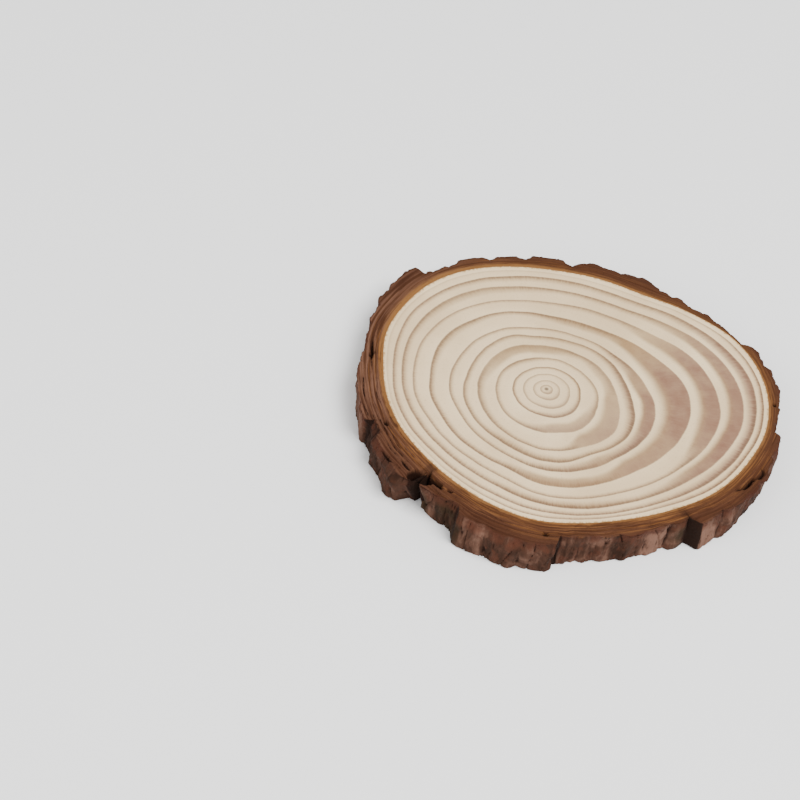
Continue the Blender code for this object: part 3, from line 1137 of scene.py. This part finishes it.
@dataclass
class BarkRing:
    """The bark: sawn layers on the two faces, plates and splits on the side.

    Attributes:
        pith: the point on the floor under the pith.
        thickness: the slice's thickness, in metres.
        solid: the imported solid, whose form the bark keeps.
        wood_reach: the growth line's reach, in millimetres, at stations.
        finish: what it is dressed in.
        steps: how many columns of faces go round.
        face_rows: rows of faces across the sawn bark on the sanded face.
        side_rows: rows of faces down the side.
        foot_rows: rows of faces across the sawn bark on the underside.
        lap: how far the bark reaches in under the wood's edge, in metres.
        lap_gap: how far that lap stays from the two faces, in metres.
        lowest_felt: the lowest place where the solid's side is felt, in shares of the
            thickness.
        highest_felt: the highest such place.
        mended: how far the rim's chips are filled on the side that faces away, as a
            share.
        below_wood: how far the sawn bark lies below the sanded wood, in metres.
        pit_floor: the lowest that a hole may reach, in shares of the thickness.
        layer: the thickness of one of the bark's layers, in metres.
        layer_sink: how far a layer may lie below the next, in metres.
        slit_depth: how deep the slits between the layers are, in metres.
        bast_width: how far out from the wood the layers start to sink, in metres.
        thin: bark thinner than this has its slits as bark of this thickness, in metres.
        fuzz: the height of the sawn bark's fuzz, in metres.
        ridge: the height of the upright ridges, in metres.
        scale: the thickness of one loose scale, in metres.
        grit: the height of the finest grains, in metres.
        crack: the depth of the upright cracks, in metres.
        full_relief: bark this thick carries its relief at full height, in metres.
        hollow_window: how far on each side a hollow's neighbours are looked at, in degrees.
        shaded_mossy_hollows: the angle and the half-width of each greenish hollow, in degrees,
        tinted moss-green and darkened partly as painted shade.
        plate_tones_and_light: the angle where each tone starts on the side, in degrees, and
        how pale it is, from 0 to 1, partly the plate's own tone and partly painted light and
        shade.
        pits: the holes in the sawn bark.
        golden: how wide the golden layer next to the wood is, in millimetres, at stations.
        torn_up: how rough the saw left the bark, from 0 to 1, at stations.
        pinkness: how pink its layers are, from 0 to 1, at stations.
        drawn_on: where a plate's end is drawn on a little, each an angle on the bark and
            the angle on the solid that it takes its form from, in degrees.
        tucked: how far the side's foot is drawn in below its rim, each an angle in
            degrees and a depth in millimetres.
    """

    pith: Vector
    thickness: float
    solid: SolidForm
    wood_reach: tuple[float, ...]
    finish: DryBark = field(default_factory=DryBark)
    steps: int = 1152
    face_rows: int = 30
    side_rows: int = 34
    foot_rows: int = 8
    lap: float = 0.3 * MM
    lap_gap: float = 0.06 * MM
    lowest_felt: float = 0.06
    highest_felt: float = 0.92
    mended: float = 0.75
    below_wood: float = 0.03 * MM
    pit_floor: float = 0.1
    layer: float = 1.0 * MM
    layer_sink: float = 0.22 * MM
    slit_depth: float = 0.6 * MM
    bast_width: float = 0.8 * MM
    thin: float = 0.5 * MM
    fuzz: float = 0.05 * MM
    ridge: float = 0.16 * MM
    scale: float = 0.14 * MM
    grit: float = 0.06 * MM
    crack: float = 0.5 * MM
    full_relief: float = 2.5 * MM
    hollow_window: int = 8
    # Greenish hollows whose dark is partly painted shade.
    shaded_mossy_hollows: tuple[tuple[float, float], ...] = (
        (234.5, 2.0), (245.0, 4.5), (314.8, 2.4),
    )
    # Each tone is partly the plate's own and partly painted light and shade, darkest in the
    # notches.
    plate_tones_and_light: tuple[tuple[float, float], ...] = (
        (0.0, 0.45), (28.5, 0.35), (84.0, 0.3), (136.0, 0.4), (175.5, 0.75), (204.0, 0.0),
        (210.0, 0.0), (216.0, 0.2), (231.0, 0.0), (233.0, 0.65), (240.0, 0.15),
        (250.0, 0.7), (257.0, 0.25), (264.0, 0.4), (270.0, 0.35), (281.0, 0.5),
        (287.0, 0.65), (294.0, 0.15), (299.0, 0.5), (304.0, 1.0), (311.0, 0.5),
        (318.2, 1.0), (324.0, 0.6), (330.0, 0.4), (335.0, 0.1), (342.0, 0.45),
    )
    pits: tuple[Pit, ...] = (
        Pit(7.3, 57.1, 0.5, 0.4, 1.5), Pit(225.0, 44.3, 2.2, 0.4, 1.4),
        Pit(219.0, 46.5, 2.4, 0.4, 1.2), Pit(207.0, 41.9, 1.0, 0.5, 1.2),
        Pit(273.5, 45.7, 0.8, 0.5, 1.5), Pit(241.5, 42.4, 1.0, 0.35, 1.2),
        Pit(229.6, 44.5, 1.7, 1.4, 4.5), Pit(232.8, 43.8, 2.0, 1.2, 4.5),
        Pit(236.2, 42.9, 2.2, 0.5, 3.0),
    )
    golden: tuple[float, ...] = (
        0.6, 0.5, 0.3, 0.3, 0.9, 0.9, 1.2, 1.2, 1.3, 1.5, 1.6, 1.25,
        1.0, 0.9, 0.8, 0.6, 0.7, 0.6, 0.35, 0.35, 0.55, 0.5, 0.4, 0.5,
    )
    torn_up: tuple[float, ...] = (
        0.35, 0.3, 0.1, 0.1, 0.15, 0.15, 0.15, 0.2, 0.2, 0.25, 0.4, 0.7,
        1.0, 1.0, 1.0, 1.0, 0.9, 0.75, 0.7, 0.75, 0.7, 0.75, 0.7, 0.5,
    )
    pinkness: tuple[float, ...] = (
        0.1, 0.1, 0.1, 0.1, 0.1, 0.1, 0.1, 0.2, 0.3, 0.4, 0.6, 0.9,
        1.0, 0.9, 0.5, 0.3, 0.2, 0.15, 0.15, 0.2, 0.2, 0.1, 0.1, 0.1,
    )
    drawn_on: tuple[tuple[float, float], ...] = (
        (131.0, 131.0), (134.6, 136.5), (135.0, 137.5), (142.0, 142.0), (225.0, 225.0),
        (230.7, 229.0), (231.1, 229.7), (232.2, 232.5), (232.6, 233.4), (236.0, 236.0),
        (268.0, 268.0), (276.6, 273.2), (277.1, 274.1), (283.0, 283.0), (308.0, 308.0),
        (316.9, 314.8), (317.2, 315.0), (317.5, 318.4), (318.5, 319.3), (319.4, 320.6),
        (324.0, 324.0),
    )
    tucked: tuple[tuple[float, float], ...] = (
        (212.0, 0.0), (222.0, 0.8), (227.0, 1.4), (228.6, 5.2), (231.0, 5.5), (231.8, 2.4),
        (237.0, 1.0), (242.0, 0.0),
    )

    def _profile(self) -> list[tuple[float, float]]:
        """The blank's section: 1 is the growth line and 2 the bark's surface."""
        face = [(1.0 + row / self.face_rows, 1.0) for row in range(self.face_rows + 1)]
        side = [(2.0, 1.0 - row / self.side_rows) for row in range(1, self.side_rows)]
        foot = [(2.0 - row / self.foot_rows, 0.0) for row in range(self.foot_rows + 1)]
        inside = [(0.5, 0.0), (0.5, 1.0), (1.0, 1.0)]
        return face + side + foot + inside

    def build(self) -> bpy.types.Object:
        """Models the bark.

        Returns:
            The bark, closed under the wood's edge.
        """
        bark = turn_blank("bark", self._profile(), self.steps)
        mesh = bark.data
        blank = read_places(mesh)
        turns = np.arctan2(blank[:, 1], blank[:, 0])
        degrees = np.degrees(turns) % 360.0
        layers = np.round(np.hypot(blank[:, 0], blank[:, 1]), 4)
        levels = np.round(blank[:, 2], 4)
        wood = closed_curve(self.wood_reach, degrees) * MM
        torn_up = closed_curve(self.torn_up, degrees)
        rims = self._rims(degrees)
        reach, height, rim = np.zeros((3, len(blank)))
        for i, (layer, level, angle) in enumerate(zip(layers, levels, degrees)):
            top, foot = rims[round(angle, 2)]
            rim[i] = top[0] if level > 0.5 else foot[0]
            reach[i], height[i] = self._grown(layer, level, angle, wood[i], top, foot, torn_up[i])
        places = places_round(self.pith, turns, reach, height)
        write_places(mesh, places)
        on_a_face = (levels == SawnFace.SANDED.value) | (levels == SawnFace.UNDERSIDE.value)
        depth = np.maximum(0.0, reach - wood)
        to_rim = np.maximum(0.0, rim - reach)
        golden = closed_curve(self.golden, degrees)
        pinkness = closed_curve(self.pinkness, degrees)
        write_values(mesh, "layers", np.stack([depth, to_rim, height], axis=1) / MM)
        write_values(mesh, "cut", np.stack([golden, torn_up, pinkness], axis=1))
        write_values(mesh, "stem", pattern_places(turns, height))
        # The site's tone carries painted light and shade, and its hollow and moss carry painted
        # shade.
        write_values(mesh, "site", self._sites(degrees))
        write_values(mesh, "sawn", (layers < 2.0) & on_a_face)
        write_values(mesh, "shaded_wall", self._shaded_walls(degrees, rims))
        write_values(mesh, "recess", self._recess(mesh, places) / MM)
        return bark

    def _rims(self, degrees: np.ndarray) -> dict[float, tuple[Rim, Rim]]:
        """Feels the solid's upper and lower rims at each angle.

        Args:
            degrees: the angles.

        Returns:
            For each angle, the reach and the height of both rims.
        """
        below_rim = self.highest_felt * self.thickness
        above_foot = self.lowest_felt * self.thickness
        inside = 0.05 * MM
        rims = {}
        for angle in np.unique(np.round(degrees, 2)):
            source = self._source(angle)
            upper = self.solid.reach(source, below_rim)
            lower = self.solid.reach(source, above_foot) - self._tuck(angle, above_foot)
            rims[float(angle)] = (
                (upper, self.solid.height(source, upper - inside, SawnFace.SANDED)),
                (lower, self.solid.height(source, lower - inside, SawnFace.UNDERSIDE)),
            )
        return rims

    def _source(self, angle: float) -> float:
        """The angle on the solid that an angle on the bark takes its form from."""
        built, felt = zip(*self.drawn_on)
        if not built[0] < angle < built[-1]:
            return float(angle)
        return float(np.interp(angle, built, felt))

    def _tuck(self, angle: float, height: float) -> float:
        """How far the side is drawn in at an angle and a height, in metres."""
        angles, depths = zip(*self.tucked)
        return float(np.interp(angle, angles, depths)) * MM * (1.0 - height / self.thickness)

    @staticmethod
    def _shaded_walls(degrees: np.ndarray, rims: dict[float, tuple[Rim, Rim]]) -> np.ndarray:
        """Where the side turns in towards the wood, as at the end of a plate, for the material's
        painted shade.

        Args:
            degrees: the angles to tell it at.
            rims: the reach and the height of both rims at each angle.

        Returns:
            From 0 where the side faces out to 1 where it faces along the rim.
        """
        angles = np.array(sorted(rims))
        reach = np.array([rims[angle][0][0] for angle in angles])
        slope = np.abs(np.gradient(reach, np.radians(angles))) / reach
        gentle, steep = 1.2, 2.7
        shaded_wall = np.clip((slope - gentle) / (steep - gentle), 0.0, 1.0)
        shaded_wall = np.maximum(shaded_wall, np.maximum(np.roll(shaded_wall, 1), np.roll(shaded_wall, -1)))
        return np.interp(degrees, angles, shaded_wall)

    def _sites(self, degrees: np.ndarray) -> np.ndarray:
        """The look of the bark's side at each angle, its hollows told from the solid's rim.

        Args:
            degrees: the angles.

        Returns:
            One row an angle: how pale the plate is, partly as painted light and shade, how many
            millimetres it lies behind its neighbours, which is laid as painted shade, and how
            mossy it is, which is laid partly as painted shade.
        """
        stations = np.arange(360.0)
        below_rim = self.highest_felt * self.thickness
        rim = np.array([self.solid.reach(angle, below_rim) for angle in stations])
        starts = np.array([start for start, _ in self.plate_tones_and_light])
        own = np.searchsorted(starts, stations, side="right") - 1
        tones = np.array([tone for _, tone in self.plate_tones_and_light])[own]
        window = range(-self.hollow_window, self.hollow_window + 1)
        mean = sum(np.roll(rim, shift) for shift in window) / len(window)
        hollow = np.clip((mean - rim) / MM, 0.0, None)
        mossy = np.zeros_like(stations)
        for middle, half_width in self.shaded_mossy_hollows:
            turn = np.abs(turn_between(stations, middle))
            mossy = np.maximum(mossy, np.clip(1.4 - turn / half_width, 0.0, 1.0))
        rows = (tones, hollow, mossy)
        columns = [np.interp(degrees, stations, row, period=360.0) for row in rows]
        return np.stack(columns, axis=1)

    def _grown(
        self,
        layer: float,
        level: float,
        angle: float,
        wood: float,
        top: Rim,
        foot: Rim,
        torn_up: float,
    ) -> tuple[float, float]:
        """Where a point of the blank lies on the bark.

        Args:
            layer: its place across the bark on the blank.
            level: its height on the blank.
            angle: its angle.
            wood: the growth line's reach there.
            top: the upper rim's reach and height there.
            foot: the lower rim's reach and height there.
            torn_up: how rough the saw left the bark there.

        Returns:
            Its reach and its height, in metres.
        """
        if layer < 1.0:
            above = self.lap_gap if level == 0.0 else self.thickness - self.lap_gap
            return wood - self.lap, above
        if 0.0 < level < 1.0:
            height = foot[1] + level * (top[1] - foot[1])
            share = min(max(height / self.thickness, self.lowest_felt), self.highest_felt)
            felt = share * self.thickness
            reach = self.solid.reach(self._source(angle), felt) - self._tuck(angle, felt)
            return reach + self._side_relief(angle, height, reach - wood), height
        face = SawnFace.SANDED if level == 1.0 else SawnFace.UNDERSIDE
        rim = top if face is SawnFace.SANDED else foot
        share = layer - 1.0
        inside = 0.04 * MM
        reach = wood + share * (rim[0] - wood)
        height = self.solid.height(self._source(angle), min(reach, rim[0] - inside), face)
        height = min(max(height, 0.0), self.thickness)
        reach += share * share * self._side_relief(angle, rim[1], rim[0] - wood)
        if face is SawnFace.SANDED:
            far_side = smooth_step(2.0 * math.sin(math.radians(angle)))
            height += self.mended * far_side * (self.thickness - height)
            height -= self._layer_relief(angle, reach - wood, rim[0] - wood, torn_up)
            height -= self.below_wood
            height -= max(pit.sink(angle, reach / MM) for pit in self.pits) * MM
            height = max(height, self.pit_floor * self.thickness)
        return reach, height

    def _side_relief(self, angle: float, height: float, thickness: float) -> float:
        """How far the bark's surface stands off the solid's, at an angle and a height."""
        # Each lump's length round the slice is in degrees, and up the side in millimetres.
        rise = height / MM
        bent = angle + 1.4 * lumps(angle, 8.0, Draw.SIDE_BEND.value + rise / 8.0)
        ridge = lumps(bent, 1.3, Draw.RIDGES.value + rise / 9.0)
        scale_draw = 3.4 * lumps(bent, 3.6, Draw.SCALES.value + rise / 4.5)
        scales = math.floor(scale_draw) + smooth_step((scale_draw % 1.0) * 4.0)
        crack_draw = abs(lumps(bent, 3.2, Draw.CRACKS.value + rise / 16.0))
        crack = 1.0 - smooth_step(crack_draw / 0.05)
        grit = lumps(angle, 0.7, Draw.GRIT.value + rise / 0.6)
        relief = self.ridge * ridge + self.scale * (scales + 0.5)
        relief += self.grit * grit - self.crack * crack
        facing_away = max(0.0, math.sin(math.radians(angle)))
        calm = facing_away * smooth_step(2.5 * height / self.thickness - 1.5)
        return relief * (1.0 - 0.75 * calm) * min(1.0, max(0.0, thickness) / self.full_relief)

    def _layer_relief(
        self, angle: float, depth: float, thickness: float, torn_up: float
    ) -> float:
        """How far the sawn bark sinks between its layers.

        Args:
            angle: the angle.
            depth: how far out from the wood it is, in metres.
            thickness: the bark's thickness there, in metres.
            torn_up: how rough the saw left the bark there.

        Returns:
            How far it lies below the solid's face, in metres.
        """
        # A layer keeps its level over its inner part, then passes to the next by a groove.
        place = depth / self.layer + 0.9 * lumps(angle, 16.0, Draw.LAYER_BEND.value)
        layer, within = math.floor(place), place % 1.0
        sink, next_sink = (
            0.5 + lumps(angle, 10.0, Draw.SINKS.value + 7.3 * index)
            for index in (layer, layer + 1)
        )
        level = sink + (next_sink - sink) * smooth_step((within - 0.6) / 0.4)
        groove = 1.0 - smooth_step(abs(within - 0.8) / 0.2)
        slit = smooth_step((lumps(angle, 11.0, Draw.SLITS.value + 5.1 * layer) - 0.16) / 0.2)
        outer = smooth_step(depth / max(thickness, self.thin) / 0.6)
        relief = self.layer_sink * (level + 0.5 * groove) * (0.3 + outer) * (0.3 + 1.2 * torn_up)
        relief += self.slit_depth * groove * slit * outer * torn_up
        fuzz = self.fuzz * lumps(angle, 0.6, Draw.FUZZ.value + depth / (0.25 * MM))
        return max(0.0, relief) * smooth_step(depth / self.bast_width) + fuzz

    @staticmethod
    def _recess(mesh: bpy.types.Mesh, places: np.ndarray) -> np.ndarray:
        """How far each point lies below the surface round it, smoothed over its neighbours, for
        the material's painted shade.

        Args:
            mesh: the bark's mesh.
            places: its points' places.

        Returns:
            The depth of the hollow at each point, in metres, less than 0 on a ridge.
        """
        rounds = 24
        edges = np.zeros(len(mesh.edges) * 2, int)
        mesh.edges.foreach_get("vertices", edges)
        first, second = edges.reshape(-1, 2).T
        ends = np.concatenate([first, second])
        others = np.concatenate([second, first])
        count = np.bincount(ends, minlength=len(places))
        smooth = places.copy()
        for _ in range(rounds):
            totals = [np.bincount(ends, smooth[others, axis], len(places)) for axis in range(3)]
            smooth = np.stack(totals, axis=1) / count[:, None]
        normals = np.zeros(len(places) * 3)
        mesh.vertices.foreach_get("normal", normals)
        return np.einsum("ij,ij->i", smooth - places, normals.reshape(-1, 3))

    def dress(self, bark: bpy.types.Object) -> None:
        """Gives the bark its finish and its place on the frame."""
        bark.data.materials.append(self.finish.material(self.thickness))
        bark.data.shade_smooth()
        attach(bark, BODY)
        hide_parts(NODE)


@dataclass(frozen=True)
class Lamp:
    """A soft square lamp that shines on the slice.

    Attributes:
        name: the lamp's name.
        place: where it hangs, in metres.
        power: its power, in watts.
        size: the side of its square, in metres.
    """

    name: str
    place: tuple[float, float, float]
    power: float
    size: float = 0.7

    def hang(self) -> None:
        """Hangs the lamp and turns it to the slice."""
        data = bpy.data.lights.new(self.name, "AREA")
        data.size = self.size
        data.energy = self.power
        lamp = bpy.data.objects.new(self.name, data)
        lamp.location = self.place
        lamp.rotation_euler = Vector(self.place).to_track_quat("Z", "Y").to_euler()
        bpy.context.scene.collection.objects.link(lamp)


@dataclass
class Studio:
    """A pale floor, soft light, and a camera that looks down on the slice.

    Attributes:
        pith: the point on the floor under the pith.
        thickness: the slice's thickness, in metres.
        picture: the picture's width and height, in pixels.
        lens: the lens, in millimetres, on a sensor of the width below.
        sensor: the sensor's width, in millimetres.
        elevation: how far above the face the camera stands, in degrees.
        roll: how far the camera is turned about its view, in degrees.
        distance: from the camera to the pith along its view, in metres.
        pith_across: where the pith shows in the picture, from its left, in pixels.
        pith_down: where the pith shows in the picture, from its top, in pixels.
        floor_size: the side of the floor's square, in metres.
        floor_colour: the floor's colour.
        room_light: how bright the room is.
        lamps: the lamps.
    """

    pith: Vector
    thickness: float
    picture: float = 800.0
    lens: float = 90.0
    sensor: float = 36.0
    elevation: float = 46.3
    roll: float = 9.0
    distance: float = 488.9 * MM
    pith_across: float = 546.5
    pith_down: float = 389.0
    floor_size: float = 6.0
    floor_colour: Colour = (0.9, 0.9, 0.895)
    room_light: float = 0.85
    lamps: tuple[Lamp, ...] = (
        Lamp("key_lamp", (0.45, -0.35, 1.1), 24.0),
        Lamp("fill_lamp", (-0.7, -0.6, 0.6), 5.0),
    )

    def place_camera(self) -> None:
        """Sets the camera up."""
        tilt = math.radians(self.elevation)
        turn = math.radians(self.roll)
        back = Vector((0.0, -math.cos(tilt), math.sin(tilt)))
        right = Vector((1.0, 0.0, 0.0))
        up = back.cross(right)
        rolled_right = right * math.cos(turn) + up * math.sin(turn)
        rolled_up = up * math.cos(turn) - right * math.sin(turn)
        focus = self.picture * self.lens / self.sensor
        across = (self.pith_across - self.picture / 2.0) / focus
        down = (self.pith_down - self.picture / 2.0) / focus
        aim = self.pith + Vector((0.0, 0.0, self.thickness))
        eye = aim - (rolled_right * across - rolled_up * down - back) * self.distance
        data = bpy.data.cameras.new("studio_camera")
        data.lens = self.lens
        data.sensor_width = self.sensor
        data.clip_start = 0.01
        camera = bpy.data.objects.new("studio_camera", data)
        bpy.context.scene.collection.objects.link(camera)
        turned = Matrix((rolled_right, rolled_up, back)).transposed().to_4x4()
        camera.matrix_world = Matrix.Translation(eye) @ turned
        bpy.context.scene.camera = camera

    def lay_floor(self) -> None:
        """Lays the floor that the slice lies on."""
        bpy.ops.object.select_all(action="DESELECT")
        bpy.ops.mesh.primitive_plane_add(size=self.floor_size, location=(0.0, 0.0, 0.0))
        floor = bpy.context.object
        floor.name = "floor"
        look = {"Base Color": self.floor_colour, "Roughness": 0.9, "Specular IOR Level": 0.1}
        floor.data.materials.append(Sheet("pale_floor").finished(look))

    def light(self) -> None:
        """Lights the room and hangs the lamps."""
        world = bpy.data.worlds.new("bright_room")
        world.use_nodes = True
        background = world.node_tree.nodes["Background"]
        background.inputs["Color"].default_value = (1.0, 1.0, 1.0, 1.0)
        background.inputs["Strength"].default_value = self.room_light
        bpy.context.scene.world = world
        for lamp in self.lamps:
            lamp.hang()


def report(piece: bpy.types.Object) -> None:
    """Says what a finished piece is made of."""
    triangles = sum(len(face.vertices) - 2 for face in piece.data.polygons)
    LOG.info("%s: %d triangles", piece.name, triangles)


def main() -> None:
    """Builds the slice's pieces and the studio round them."""
    logging.basicConfig(level=logging.INFO, format="%(name)s: %(message)s")
    mounts = {mount["name"]: Vector(mount["pos_m"]) for mount in frame["record"]["mounts"]}
    centre = mounts["sanded_face"]
    pith = Vector((centre.x, centre.y, 0.0))
    thickness = centre.z

    studio = Studio(pith, thickness)
    studio.place_camera()
    studio.lay_floor()
    studio.light()

    wood = WoodDisc(pith, thickness)
    disc = wood.build()
    wood.dress(disc)
    report(disc)

    solid = SolidForm(frame["nodes"][NODE], pith)
    bark = BarkRing(pith, thickness, solid, RINGS[-1].reach)
    ring = bark.build()
    bark.dress(ring)
    report(ring)


if __name__ == "__main__":
    main()
